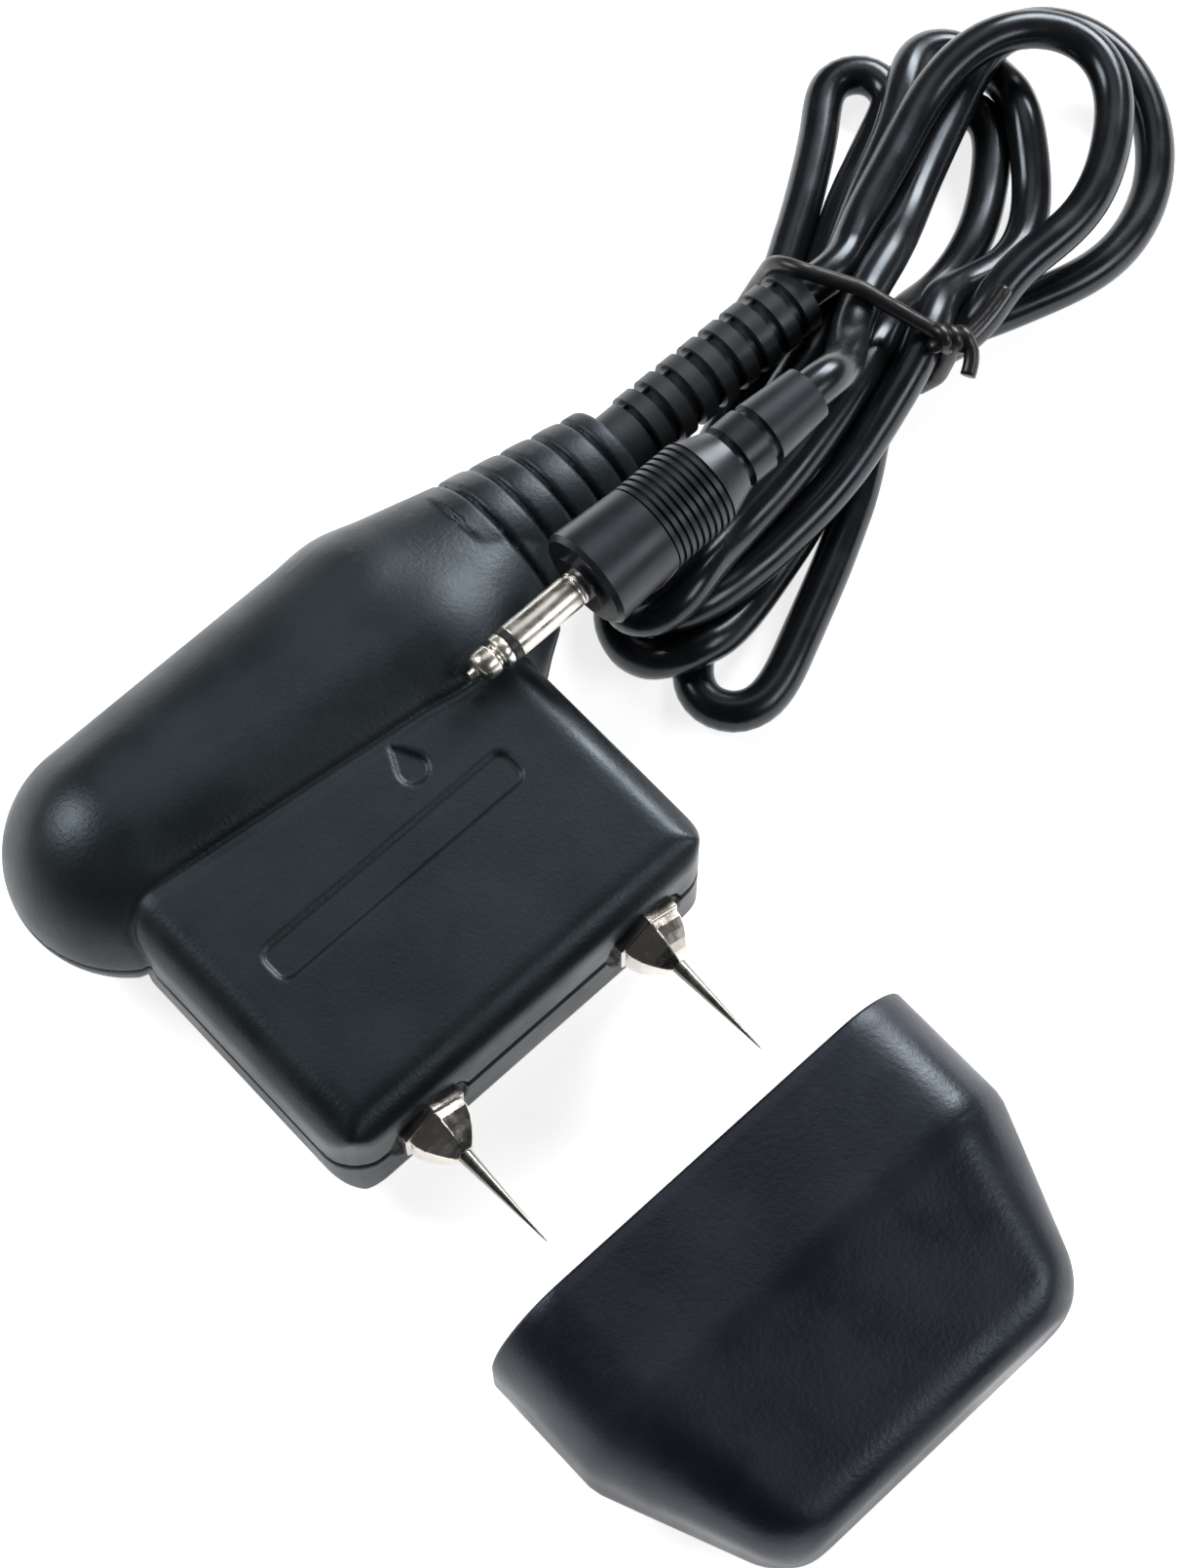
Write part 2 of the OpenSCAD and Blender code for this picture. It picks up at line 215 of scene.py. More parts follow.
# ---------------------------------------------------------------- materials
def material(name, base, rough, metallic=0.0, tint=None, vary=0.25, vary_scale=45.0, rough_vary=0.08,
             grain=0.25, grain_scale=2600.0, grain_depth=0.00004, lumps=0.0, lump_scale=160.0, wear=0.0,
             wear_colour=(0.2, 0.2, 0.2), lines=None, gloss=(1, 1, 1)):
    """Mottled colour, roughness patches, fine grain, soft lumps, turning lines and rubbed edges."""
    m = bpy.data.materials.new(name)
    m.use_nodes = True
    nt = m.node_tree
    nodes, links = nt.nodes, nt.links
    bsdf = nodes["Principled BSDF"]
    bsdf.inputs["Metallic"].default_value = metallic
    bsdf.inputs["Specular Tint"].default_value = (*gloss, 1)
    coord = nodes.new("ShaderNodeTexCoord")

    def noise(scale, detail=3.0, roughness=0.55):
        t = nodes.new("ShaderNodeTexNoise")
        t.inputs["Scale"].default_value = scale
        t.inputs["Detail"].default_value = detail
        t.inputs["Roughness"].default_value = roughness
        links.new(coord.outputs["Object"], t.inputs["Vector"])
        return t

    def ramp(src, lo, hi, a=0.35, b=0.65):
        r = nodes.new("ShaderNodeMapRange")
        r.inputs["From Min"].default_value = a
        r.inputs["From Max"].default_value = b
        r.inputs["To Min"].default_value = lo
        r.inputs["To Max"].default_value = hi
        links.new(src, r.inputs["Value"])
        return r.outputs["Result"]

    def mix(fac, a, b):
        x = nodes.new("ShaderNodeMix")
        x.data_type = "RGBA"
        links.new(fac, x.inputs["Factor"])
        for sock, val in ((x.inputs[6], a), (x.inputs[7], b)):
            if isinstance(val, tuple):
                sock.default_value = (*val, 1)
            else:
                links.new(val, sock)
        return x.outputs[2]

    tint = tint or tuple(min(1, c * (1 + vary) + 0.002) for c in base)
    dark = tuple(c * (1 - vary * 0.6) for c in base)
    colour = mix(ramp(noise(vary_scale).outputs["Fac"], 0, 1), dark, tint)
    fine = noise(grain_scale * 0.35, 2.0)
    colour = mix(ramp(fine.outputs["Fac"], 0, 0.45), colour, base)
    if wear:
        geo = nodes.new("ShaderNodeNewGeometry")
        edge = ramp(geo.outputs["Pointiness"], 0, wear, 0.52, 0.6)
        broken = nodes.new("ShaderNodeMath")
        broken.operation = "MULTIPLY"
        links.new(edge, broken.inputs[0])
        links.new(ramp(noise(420.0, 4.0).outputs["Fac"], 0.1, 1), broken.inputs[1])
        colour = mix(broken.outputs[0], colour, wear_colour)
    links.new(colour, bsdf.inputs["Base Color"])
    r = ramp(noise(vary_scale * 2.3, 4.0).outputs["Fac"], rough - rough_vary, rough + rough_vary)
    links.new(r, bsdf.inputs["Roughness"])
    height = noise(grain_scale, 2.0, 0.6).outputs["Fac"]
    bump = nodes.new("ShaderNodeBump")
    bump.inputs["Strength"].default_value = grain
    bump.inputs["Distance"].default_value = grain_depth
    links.new(height, bump.inputs["Height"])
    last = bump
    if lumps:
        soft = nodes.new("ShaderNodeBump")
        soft.inputs["Strength"].default_value = lumps
        soft.inputs["Distance"].default_value = 0.0006
        links.new(noise(lump_scale, 1.0).outputs["Fac"], soft.inputs["Height"])
        links.new(last.outputs["Normal"], soft.inputs["Normal"])
        last = soft
    if lines:
        axis, scale, strength = lines
        sep = nodes.new("ShaderNodeSeparateXYZ")
        links.new(coord.outputs["Object"], sep.inputs[0])
        one = nodes.new("ShaderNodeTexNoise")
        one.noise_dimensions = "1D"
        one.inputs["Scale"].default_value = scale
        one.inputs["Detail"].default_value = 2.0
        links.new(sep.outputs[axis], one.inputs["W"])
        turned = nodes.new("ShaderNodeBump")
        turned.inputs["Strength"].default_value = strength
        turned.inputs["Distance"].default_value = 0.00002
        links.new(one.outputs["Fac"], turned.inputs["Height"])
        links.new(last.outputs["Normal"], turned.inputs["Normal"])
        last = turned
    links.new(last.outputs["Normal"], bsdf.inputs["Normal"])
    return m


MAT = {
    "housing_plastic": material("housing_plastic", (0.0042, 0.0068, 0.0084), 0.44,
                                tint=(0.0080, 0.0110, 0.0128), grain=0.5, grain_scale=2300,
                                grain_depth=0.00006, wear=0.35, wear_colour=(0.075, 0.08, 0.085),
                                gloss=(0.74, 0.88, 1.0)),
    "cap_plastic": material("cap_plastic", (0.0044, 0.0062, 0.0098), 0.39, tint=(0.0080, 0.0108, 0.0165),
                            grain=0.5, grain_scale=1900, grain_depth=0.00006, wear=0.35,
                            wear_colour=(0.08, 0.08, 0.1), gloss=(0.76, 0.87, 1.0)),
    "carrier_plastic": material("carrier_plastic", (0.62, 0.58, 0.48), 0.5),
    "plain_steel": material("plain_steel", (0.6, 0.6, 0.58), 0.32, metallic=1, vary=0.12, grain=0.15),
    "post_brass": material("post_brass", (0.78, 0.6, 0.3), 0.28, metallic=1, vary=0.12,
                           lines=("Y", 2500, 0.3)),
    "nickel_plate": material("nickel_plate", (0.74, 0.70, 0.64), 0.24, metallic=1, vary=0.14, grain=0.05,
                             vary_scale=300, lines=("Y", 3000, 0.08)),
    "needle_steel": material("needle_steel", (0.27, 0.26, 0.24), 0.28, metallic=1, vary=0.2, grain=0.12,
                             vary_scale=400, lines=("Y", 4000, 0.35)),
    "tinned_tag": material("tinned_tag", (0.72, 0.71, 0.68), 0.35, metallic=1, vary=0.12, lumps=0.2),
    "wire_black": material("wire_black", (0.03, 0.03, 0.03), 0.35, lumps=0.2),
    "wire_red": material("wire_red", (0.5, 0.05, 0.04), 0.35, lumps=0.2),
    "anchor_metal": material("anchor_metal", (0.65, 0.65, 0.66), 0.3, metallic=1, vary=0.1),
    "relief_rubber": material("relief_rubber", (0.018, 0.0215, 0.024), 0.42, tint=(0.027, 0.030, 0.033),
                              grain=0.35, grain_scale=2000, gloss=(0.85, 0.93, 1.0)),
    "cord_sheath": material("cord_sheath", (0.0045, 0.0055, 0.007), 0.25, tint=(0.011, 0.012, 0.014),
                            rough_vary=0.05, vary_scale=90, grain=0.12, grain_scale=1500,
                            lumps=0.16, lump_scale=150, gloss=(0.8, 0.9, 1.0)),
    "plug_moulding": material("plug_moulding", (0.0075, 0.009, 0.012), 0.36, tint=(0.012, 0.014, 0.017),
                              grain=0.2, grain_scale=1800, lumps=0.05, gloss=(0.85, 0.92, 1.0)),
    "jack_nickel": material("jack_nickel", (0.80, 0.77, 0.70), 0.3, metallic=1, vary=0.1, grain=0.03,
                            vary_scale=260, lines=("X", 3000, 0.04)),
    "jack_plastic": material("jack_plastic", (0.012, 0.012, 0.012), 0.4),
    "tie_plastic": material("tie_plastic", (0.008, 0.008, 0.01), 0.35, grain=0.2, grain_scale=1200, lumps=0.2,
                            lump_scale=500),
}
for sub in frame["record"].get("subparts", []):
    ob = node[sub["node"]]
    ob.data.materials.clear()
    ob.data.materials.append(MAT[sub["material_slot"]])


# ---------------------------------------------------------------- cord
CORD_D = 4.2
BEND = 4.6  # tightest radius that settling aims for
SETTLE_ROUNDS = 420
RELIEF_AXIS, JACK_AXIS = (39.1, 0), (26.6, 11.2)  # y and z of the strain relief and of the plug
LEAD = [(41, 39.1, 0), (45.5, 39.1, 0), (54, 39.1, 0), (63, 39.1, 0), (71.5, 39.1, 0), (74.5, 39.1, 0)]
# The hank, lap by lap. Its strand centres were picked on the photograph, at guessed heights. A program
# outside this script put them through the fitted camera and rounded them to half a millimetre.
LAP = [
    # out of the relief, long loop one
    (80.5, 40.5, 0.5), (85, 42, 1), (93, 45.5, 1), (101, 48, 1), (107.5, 47.5, 1.5), (113, 44.5, 1.5),
    (115.5, 40, 1.5), (113.5, 35.5, 1), (110, 32, 0.5), (105.5, 29, 0.5), (100.5, 27, 0), (95, 27, 0),
    (90.5, 27.5, -0.5), (86, 28, -1.5), (81.5, 28.5, -3),
    # first fold under the plug, and back below
    (77, 28.5, -4.5), (71, 27, -4.5), (65.5, 25.5, -4.5), (60, 24, -4.5), (53.5, 22.5, -4.5),
    (48, 20.5, -4.5), (42.5, 20, -4.5), (38, 20, -5), (35.5, 23, -6), (36.5, 27, -7.5), (40, 29, -8.5),
    (45.5, 30.5, -9), (51, 31.5, -9), (57.5, 33, -9), (63.5, 35, -9), (68.5, 38, -9), (72.5, 42, -9),
    # short loop at the back
    (77.5, 45.5, -9), (84, 50.5, -9), (91.5, 55.5, -9), (98.5, 59, -9), (103, 60, -9), (104, 57, -9),
    (99.5, 52.5, -9), (93.5, 49, -9), (87.5, 46.5, -9), (82, 43.5, -9), (75.5, 40, -9), (68.5, 36.5, -9),
    (62, 34, -9),
    # second fold
    (50, 30, -9), (44, 29.5, -9), (39.5, 29, -8), (36, 26.5, -6), (35, 23, -4), (37.5, 21.5, -3),
    (41.5, 21.5, -2.5), (45.5, 21.5, -2), (50.5, 21.5, -1.5), (57.5, 22, -1.5), (63.5, 23, -1.5),
    (69.5, 25, -1.5), (74.5, 26.5, -0.5),
    # middle loop
    (79.5, 27.5, 0), (86, 29, -3.5), (92.5, 29.5, -5), (98.5, 32, -5), (103, 36, -5), (105.5, 40.5, -5),
    (107.5, 45, -4.5), (109, 49.5, -4.5), (108.5, 53.5, -4.5), (105, 54.5, -4.5), (99.5, 51.5, -4.5),
    (94, 48, -4.5), (88, 45, -4.5), (82.5, 42.5, -4.5), (76.5, 40, -5), (70, 36.5, -5), (63.5, 33.5, -5),
    (57, 31, -5),
    # third fold, on top
    (45, 28, -4.5), (39, 28, -3), (35, 26.5, -0.5), (33, 24, 1), (33, 22.5, 2), (36, 22, 3),
    (39.5, 22.5, 2.5), (44, 23.5, 2.5), (50, 24.5, 2.5), (57.5, 25.5, 2.5), (65.5, 27.5, 2), (72, 29, 1),
    # inner loop
    (77, 31, 0), (82.5, 32, -3), (88.5, 33, -4.5), (94, 35, -5.5), (98.5, 38, -6.5), (103, 42, -7.5),
    (106.5, 47, -8.5), (107, 50.5, -9), (103, 50.5, -9), (94.5, 47, -9), (87.5, 44, -9), (80, 40, -9),
    (73, 36, -9), (66.5, 32.5, -9), (60.5, 30, -9),
    # fourth fold, the lowest one, round to the long outer loop
    (51, 25.5, -9), (45, 23, -9), (40.5, 20.5, -9), (36.5, 18, -9), (35, 14.5, -9), (37.5, 12, -9),
    (43, 12.5, -9), (49.5, 15, -9), (57.5, 18.5, -9), (65, 23, -9), (70.5, 27, -9), (76, 29, -8.5),
    (82.5, 29, -8.5), (88, 27.5, -8), (95, 25, -7.5), (101.5, 23.5, -7), (107, 24.5, -6.5),
    (113, 27.5, -6), (118.5, 35, -5), (119, 42, -3.5), (115.5, 47, -3), (109.5, 48.5, -2),
    (103, 46.5, -1.5), (96, 43.5, -1), (87, 39.5, 0.5), (79.5, 36, 2), (73.5, 33, 4.5),
]
TAIL = [(66, 28, 8), (63, 26.9, 10.6), (59.9, 26.6, 11.2), (56, 26.6, 11.2), (51.9, 26.6, 11.2)]


def resample(pts, ds):
    s = np.r_[0, np.cumsum(np.linalg.norm(np.diff(pts, axis=0), axis=1))]
    t = np.linspace(0, s[-1], int(round(s[-1] / ds)) + 1)
    return np.stack([np.interp(t, s, pts[:, k]) for k in range(3)], 1)


def smooth_line(points, ds):
    """Centripetal Catmull-Rom through the points, resampled to even steps."""
    p = np.asarray(points, float)
    q = np.vstack([2 * p[0] - p[1], p, 2 * p[-1] - p[-2]])
    out = []
    for i in range(1, len(q) - 2):
        p0, p1, p2, p3 = q[i - 1:i + 3]
        t1 = np.linalg.norm(p1 - p0) ** 0.5
        t2 = t1 + np.linalg.norm(p2 - p1) ** 0.5
        t3 = t2 + np.linalg.norm(p3 - p2) ** 0.5
        t = np.linspace(t1, t2, 14, endpoint=False)[:, None]
        a1 = (t1 - t) / t1 * p0 + t / t1 * p1
        a2 = (t2 - t) / (t2 - t1) * p1 + (t - t1) / (t2 - t1) * p2
        a3 = (t3 - t) / (t3 - t2) * p2 + (t - t2) / (t3 - t2) * p3
        b1 = (t2 - t) / t2 * a1 + t / t2 * a2
        b2 = (t3 - t) / (t3 - t1) * a2 + (t - t1) / (t3 - t1) * a3
        out.append((t2 - t) / (t2 - t1) * b1 + (t - t1) / (t2 - t1) * b2)
    return resample(np.vstack(out + [p[-1:]]), ds)


def off_rod(x, a, b, radius):
    """How far each point has to move to stand clear of a rod."""
    a, b = np.array(a, float), np.array(b, float)
    ab = b - a
    t = np.clip(((x - a) @ ab) / (ab @ ab), 0, 1)
    v = x - (a + t[:, None] * ab)
    size = np.linalg.norm(v, axis=1)
    return v / np.maximum(size, 1e-6)[:, None] * np.maximum(0, radius - size)[:, None]


def settle(points, rounds, ds=1.7):
    """Strands push each other a diameter apart, resist bending, stay near their route, rest on the floor."""
    r = CORD_D / 2
    x = smooth_line(points, ds)
    x0, n = x.copy(), len(x)
    held = np.zeros(n, bool)
    held[:int(34 / ds)] = True
    held[-int(11 / ds):] = True
    free = ~held
    i = np.arange(n)
    far = np.abs(i[:, None] - i[None, :]) > int(2.2 * CORD_D / ds)
    order = np.sign(x0[:, None, 2] - x0[None, :, 2])
    rods = [((x_a, *axis), (x_b, *axis), radius) for x_a, x_b, axis, radius in (
        (50, 71, RELIEF_AXIS, 3.9), (28, 45, RELIEF_AXIS, 8.0),
        (35, 46, JACK_AXIS, 5.3), (46, 57, JACK_AXIS, 3.7))]
    for it in range(rounds):
        k = it / rounds
        d = x[:, None, :] - x[None, :, :]
        size = np.sqrt((d ** 2).sum(2)) + 1e-9
        pen = np.where(far, np.maximum(0, CORD_D - size), 0)
        push = d * (pen / size)[:, :, None]
        push[:, :, 2] *= 1.5
        push[:, :, 2] += pen * 0.6 * order * (np.abs(d[:, :, 2]) < 1.5)
        f = 0.55 * push.sum(1) / np.sqrt(np.maximum(1, (pen > 0).sum(1)))[:, None]
        f[2:-2] += 0.10 * (-x[:-4] + 4 * x[1:-3] - 6 * x[2:-2] + 4 * x[3:-1] - x[4:])
        f[:, :2] += 0.03 * (1 - 0.7 * k) * (x0 - x)[:, :2]
        f[:, 2] += 0.01 * (1 - k) * (x0 - x)[:, 2] - 0.012
        x[free] += 0.8 * f[free]
        for h in (3, 2, 3, 2):
            mid = (x[:-2 * h] + x[2 * h:]) / 2 - x[h:-h]
            sag = np.linalg.norm(mid, axis=1)
            chord = np.linalg.norm(x[2 * h:] - x[:-2 * h], axis=1) / 2
            limit = np.minimum((h * ds) ** 2, (chord * 1.25) ** 2) / (2 * BEND)
            fix = mid * (np.maximum(0, sag - limit) / np.maximum(sag, 1e-9))[:, None]
            move = np.zeros_like(x)
            move[h:-h] += 0.36 * fix
            move[:-2 * h] -= 0.18 * fix
            move[2 * h:] -= 0.18 * fix
            x[free] += 0.8 * move[free]
        for a, b, radius in rods:
            x[free] += off_rod(x, a, b, radius + r)[free]
        x[free, 2] = np.maximum(x[free, 2], FLOOR + r)
        for _ in range(2):
            even = np.zeros_like(x)
            even[1:-1] = (x[:-2] + x[2:]) / 2 - x[1:-1]
            along = np.zeros_like(x)
            along[1:-1] = x[2:] - x[:-2]
            along /= np.linalg.norm(along, axis=1)[:, None] + 1e-9
            x[free] += (0.4 * (even * along).sum(1)[:, None] * along)[free]
    return x


centre = settle(LEAD + LAP + TAIL, SETTLE_ROUNDS)
cord_length = float(np.linalg.norm(np.diff(centre, axis=0), axis=1).sum())
gap = np.linalg.norm(centre[:, None] - centre[None], axis=2)
far_along = np.abs(np.arange(len(centre))[:, None] - np.arange(len(centre))[None]) > 6
print("cord mm", round(cord_length, 1), "closest", round(float(gap[far_along].min()), 2))
line = resample(smooth_line(centre, 0.9), 0.9)
data = bpy.data.curves.new("lead_cord", "CURVE")
data.dimensions = "3D"
data.bevel_depth = CORD_D / 2000
data.bevel_resolution = 7
data.use_fill_caps = True
sp = data.splines.new("POLY")
sp.points.add(len(line) - 1)
sp.points.foreach_set("co", np.c_[to_row(line), np.ones(len(line))].ravel())
sp.use_smooth = True
cord = bpy.data.objects.new("lead_cord", data)
scene.collection.objects.link(cord)
data.materials.append(MAT["cord_sheath"])
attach(cord, "probe")
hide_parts("cord_lead", "cord_hank", "cord_tail")


# ---------------------------------------------------------------- tie
def tube(points, radius, n=12, closed=False, ends=True):
    """Tube of round rings carried along the points without twisting."""
    p = np.asarray(points, float)
    m = len(p)
    rad = np.full(m, radius) if np.isscalar(radius) else np.asarray(radius, float)
    if closed:
        d = np.roll(p, -1, 0) - np.roll(p, 1, 0)
    else:
        d = np.gradient(p, axis=0)
    d /= np.linalg.norm(d, axis=1)[:, None]
    side = np.cross(d[0], [0.3, 0.2, 1])
    side /= np.linalg.norm(side)
    rings = []
    for i in range(m):
        side = side - (side @ d[i]) * d[i]
        side /= np.linalg.norm(side)
        up = np.cross(d[i], side)
        a = np.arange(n) / n * 2 * math.pi
        rings.append(p[i] + rad[i] * (np.cos(a)[:, None] * side + np.sin(a)[:, None] * up))
    if not closed:
        return loft(rings, ends, ends)
    verts, faces = loft(rings)
    base = (m - 1) * n
    shift = int(np.argmin(np.linalg.norm(rings[0] - rings[-1][0], axis=1)))
    for k in range(n):
        faces.append((base + k, base + (k + 1) % n, (k + 1 + shift) % n, (k + shift) % n))
    return verts, faces


def join(parts):
    verts, faces = [], []
    for v, f in parts:
        base = len(verts)
        verts += list(v)
        faces += [tuple(i + base for i in q) for q in f]
    return verts, faces


T_C, T_A = np.array([75.2, 32.5]), math.radians(21.2)
T_U, T_V = np.array([math.cos(T_A), math.sin(T_A)]), np.array([-math.sin(T_A), math.cos(T_A)])


def tie_point(u, v, z):
    q = T_C + u * T_U + v * T_V
    return np.array([q[0], q[1], z])


def make_tie():
    u = (centre[:, :2] - T_C) @ T_U
    cross = []
    for i in range(len(centre) - 1):
        if u[i] * u[i + 1] <= 0 and abs(u[i] - u[i + 1]) > 1e-9:
            t = u[i] / (u[i] - u[i + 1])
            q = centre[i] + t * (centre[i + 1] - centre[i])
            cross.append(((q[:2] - T_C) @ T_V, q[2], CORD_D / 2))
    cross.append((7.4, 0.0, 3.3))
    r = 0.85
    out = []
    for a in np.linspace(0, 2 * math.pi, 240, endpoint=False):
        n = np.array([math.cos(a), math.sin(a)])
        c = max(cross, key=lambda s: s[0] * n[0] + s[1] * n[1] + s[2])
        out.append((c[0] + n[0] * (c[2] + r), c[1] + n[1] * (c[2] + r)))
    out = np.array(out)
    ring = np.array([tie_point(0.35 * math.sin(0.6 * v) * (z > 0), v, z) for v, z in out])
    step = np.r_[0, np.cumsum(np.linalg.norm(np.diff(np.vstack([ring, ring[:1]]), axis=0), axis=1))]
    t = np.linspace(0, step[-1], 150)[:-1]
    full = np.vstack([ring, ring[:1]])
    ring = np.stack([np.interp(t, step, full[:, k]) for k in range(3)], 1)
    ring[:, 2] = np.maximum(ring[:, 2], FLOOR + r)
    for _ in range(2):
        ring = (np.roll(ring, 1, 0) + 2 * ring + np.roll(ring, -1, 0)) / 4
    ring[:, 2] = np.maximum(ring[:, 2], FLOOR + r)
    parts = [tube(ring, r, closed=True)]
    # the knot: two ends wound round each other, then bent apart
    right = min(cross, key=lambda s: s[0] - 0.4 * s[1])
    k0 = tie_point(0, right[0] - 1.9, right[1] + 2.6)
    axis = np.array([*(-T_V * 0.80 + T_U * 0.45), -0.25])
    axis /= np.linalg.norm(axis)
    s1 = np.cross(axis, [0, 0, 1])
    s1 /= np.linalg.norm(s1)
    s2 = np.cross(axis, s1)
    for sign in (1, -1):
        pts = []
        for t in np.linspace(0, 1, 26):
            a = t * 2 * math.pi * 1.4 + (0 if sign > 0 else math.pi)
            pts.append(k0 + axis * (3.4 * t - 0.8) + 0.78 * (math.cos(a) * s1 + math.sin(a) * s2))
        end = pts[-1]
        bend = np.array([*(T_U * 6.4 - T_V * 0.6), 0.2] if sign > 0 else [*(-T_U * 3.2 - T_V * 0.3), -1.0])
        for t in np.linspace(0.1, 1, 12):
            pts.append(end + axis * (1.1 * math.sin(t * 1.6)) + bend * t ** 1.4)
        pts = np.array(pts)
        pts[:, 2] = np.maximum(pts[:, 2], FLOOR + r)
        parts.append(tube(resample(pts, 0.35), r * 0.95))
    return join(parts)


v, f = make_tie()
tie = mesh_object("lead_tie", to_row(v), f, MAT["tie_plastic"])
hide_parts("twist_tie")


# ---------------------------------------------------------------- housing
def box2(px, py, hx, hy, r):
    """Signed distance to a rounded rectangle of half sizes hx, hy."""
    qx, qy = np.abs(px) - (hx - r), np.abs(py) - (hy - r)
    return np.minimum(np.maximum(qx, qy), 0) + np.hypot(np.maximum(qx, 0), np.maximum(qy, 0)) - r


def smin(a, b, k):
    """The smaller of two, with a fillet of about k."""
    h = np.maximum(k - np.abs(a - b), 0) / k
    return np.minimum(a, b) - h * h * k / 4


def smax(a, b, k):
    return -smin(-a, -b, k)


def ease(x, a, b):
    """0 before a, 1 after b, smooth between."""
    t = np.clip((x - a) / (b - a), 0, 1)
    return t * t * (3 - 2 * t)


def round_cone(x, y, z, a, b, r1, r2):
    """Signed distance to the hull of two balls."""
    ba = np.array(b, float) - np.array(a, float)
    l2 = ba @ ba
    rr = r1 - r2
    a2 = l2 - rr * rr
    pa = np.stack([x - a[0], y - a[1], z - a[2]], -1)
    yy = pa @ ba
    zz = yy - l2
    w = pa * l2 - ba * yy[..., None]
    x2 = (w * w).sum(-1)
    y2, z2 = yy * yy * l2, zz * zz * l2
    k = np.sign(rr) * rr * rr * x2
    side = (np.sqrt(x2 * a2 / l2) + yy * rr) / l2 - r1
    out = np.where(np.sign(yy) * a2 * y2 < k, np.sqrt(x2 + y2) / l2 - r1, side)
    return np.where(np.sign(zz) * a2 * z2 > k, np.sqrt(x2 + z2) / l2 - r2, out)


GRIP_Y = 39.1
BLOCK_W, BLOCK_T = 23.1, 8.5  # half width and half thickness
GRIP_R, GRIP_FLAT = 12.1, 0.9008  # radius in plan, and thickness over width
RINGS = (29.6, 33.0, 36.4, 39.9, 43.3)
SCREWS = ((-17.5, 17.5), (17.5, 17.5), (-13, GRIP_Y))
SCREW_R, SCREW_TOP = 2.6, 5.35


def block(x, y, z):
    """Flat body that holds the needles: rounded seen from above, from the needles' end and from the side."""
    a = box2(x, y - 40, BLOCK_W, 40, 4.6)
    b = box2(x, z, BLOCK_W, BLOCK_T, 4.6)
    c = box2(y - 30, z, 30, BLOCK_T, np.where(z > 0, 4.0, 3.0))
    return np.maximum(smax(smax(a, b, 0.4), c, 0.4), y - 38)


def grip(x, y, z):
    """Capsules through three centres, widened to the corner by the block, with a cone to the nose."""
    s = z / GRIP_FLAT
    a, b, c = (-16.7, 39.1, 0), (14.7, 39.1, 0), (16.6, 34.9, 0)
    d = round_cone(x, y, s, a, b, GRIP_R, GRIP_R - 0.001)
    d = np.minimum(d, round_cone(x, y, s, a, c, GRIP_R, GRIP_R - 0.001))
    d = np.minimum(d, round_cone(x, y, s, b, c, GRIP_R, GRIP_R - 0.001))
    # the flat inside of the three centres
    ax, ay, bx, by, cx, cy = a[0], a[1], b[0], b[1], c[0], c[1]
    e1 = (x - ax) * (by - ay) - (y - ay) * (bx - ax)
    e2 = (x - bx) * (cy - by) - (y - by) * (cx - bx)
    e3 = (x - cx) * (ay - cy) - (y - cy) * (ax - cx)
    inside = ((e1 >= 0) & (e2 >= 0) & (e3 >= 0)) | ((e1 <= 0) & (e2 <= 0) & (e3 <= 0))
    d = np.where(inside, np.minimum(d, np.abs(s) - GRIP_R), d)
    n = (31.0, 39.1, 0)
    d = smin(d, round_cone(x, y, s, b, n, GRIP_R, 7.9), 0.5)
    d = smin(d, round_cone(x, y, s, c, n, GRIP_R, 7.9), 0.8)
    return d * 0.93


def nose(x, y, z):
    """Ribbed cone that the lead leaves through, before its rings are cut."""
    rho = np.hypot(y - GRIP_Y, z)
    d = (rho - 8.05 + 0.2 * (x - 31)) * 0.95
    return smax(np.maximum(d, 27 - x), x - 45.5, 0.7)


def housing(x, y, z):
    """Signed distance, about, to both shells together with their moulded detail."""
    flat, barrel = block(x, y, z), grip(x, y, z)
    d = smin(flat, barrel, 0.3) + 0.28 * np.exp(-((flat - barrel) / 0.42) ** 2) * (1 - ease(x, 21, 24))
    d = np.minimum(d, nose(x, y, z))
    # moulded rings round the nose: narrow grooves with slightly crowned bands between them
    round_nose = ease(y, 24.5, 27) * ease(x, 28.6, 29.2)
    for g in RINGS:
        d = d + round_nose * 0.55 * np.exp(-((x - g) / 0.27) ** 2)
        d = d - 0.10 * round_nose * np.sin(np.clip((x - g) / 3.4, 0, 1) * math.pi)
    # parting line, deeper round the needle block
    deep = 0.16 + 0.34 * (1 - ease(y, 25, 29))
    wide = 0.24 + 0.18 * (1 - ease(y, 25, 29))
    d = d + deep * (1 - ease(np.abs(z), wide * 0.6, wide * 1.5))
    # name strip and drop, left blank
    strip = box2(x + 1, y - 18.4, 15, 1.9, 1.2)
    drop = np.minimum(np.hypot(x - 6.6, y - 24.3) - 1.5,
                      round_cone(x, y, np.zeros_like(x), (6.6, 24.3, 0), (6.6, 27.3, 0), 1.5, 0.15))
    mark = np.minimum(strip, drop)
    d = d + np.where(z > 4, 0.36 * (1 - ease(mark, -0.22, 0.22)), 0)
    # seats of the two nuts, recesses of the three screws, bore of the lead
    for s in NEEDLE_X:
        d = np.maximum(d, -smax(np.hypot(x - s, z) - 4.7, y - 0.8, 0.3))
    for sx, sy in SCREWS:
        d = np.maximum(d, -np.maximum(np.hypot(x - sx, y - sy) - SCREW_R, z + SCREW_TOP))
    d = np.maximum(d, -np.maximum(np.hypot(y - GRIP_Y, z) - 3.5, 41.4 - x))
    return d


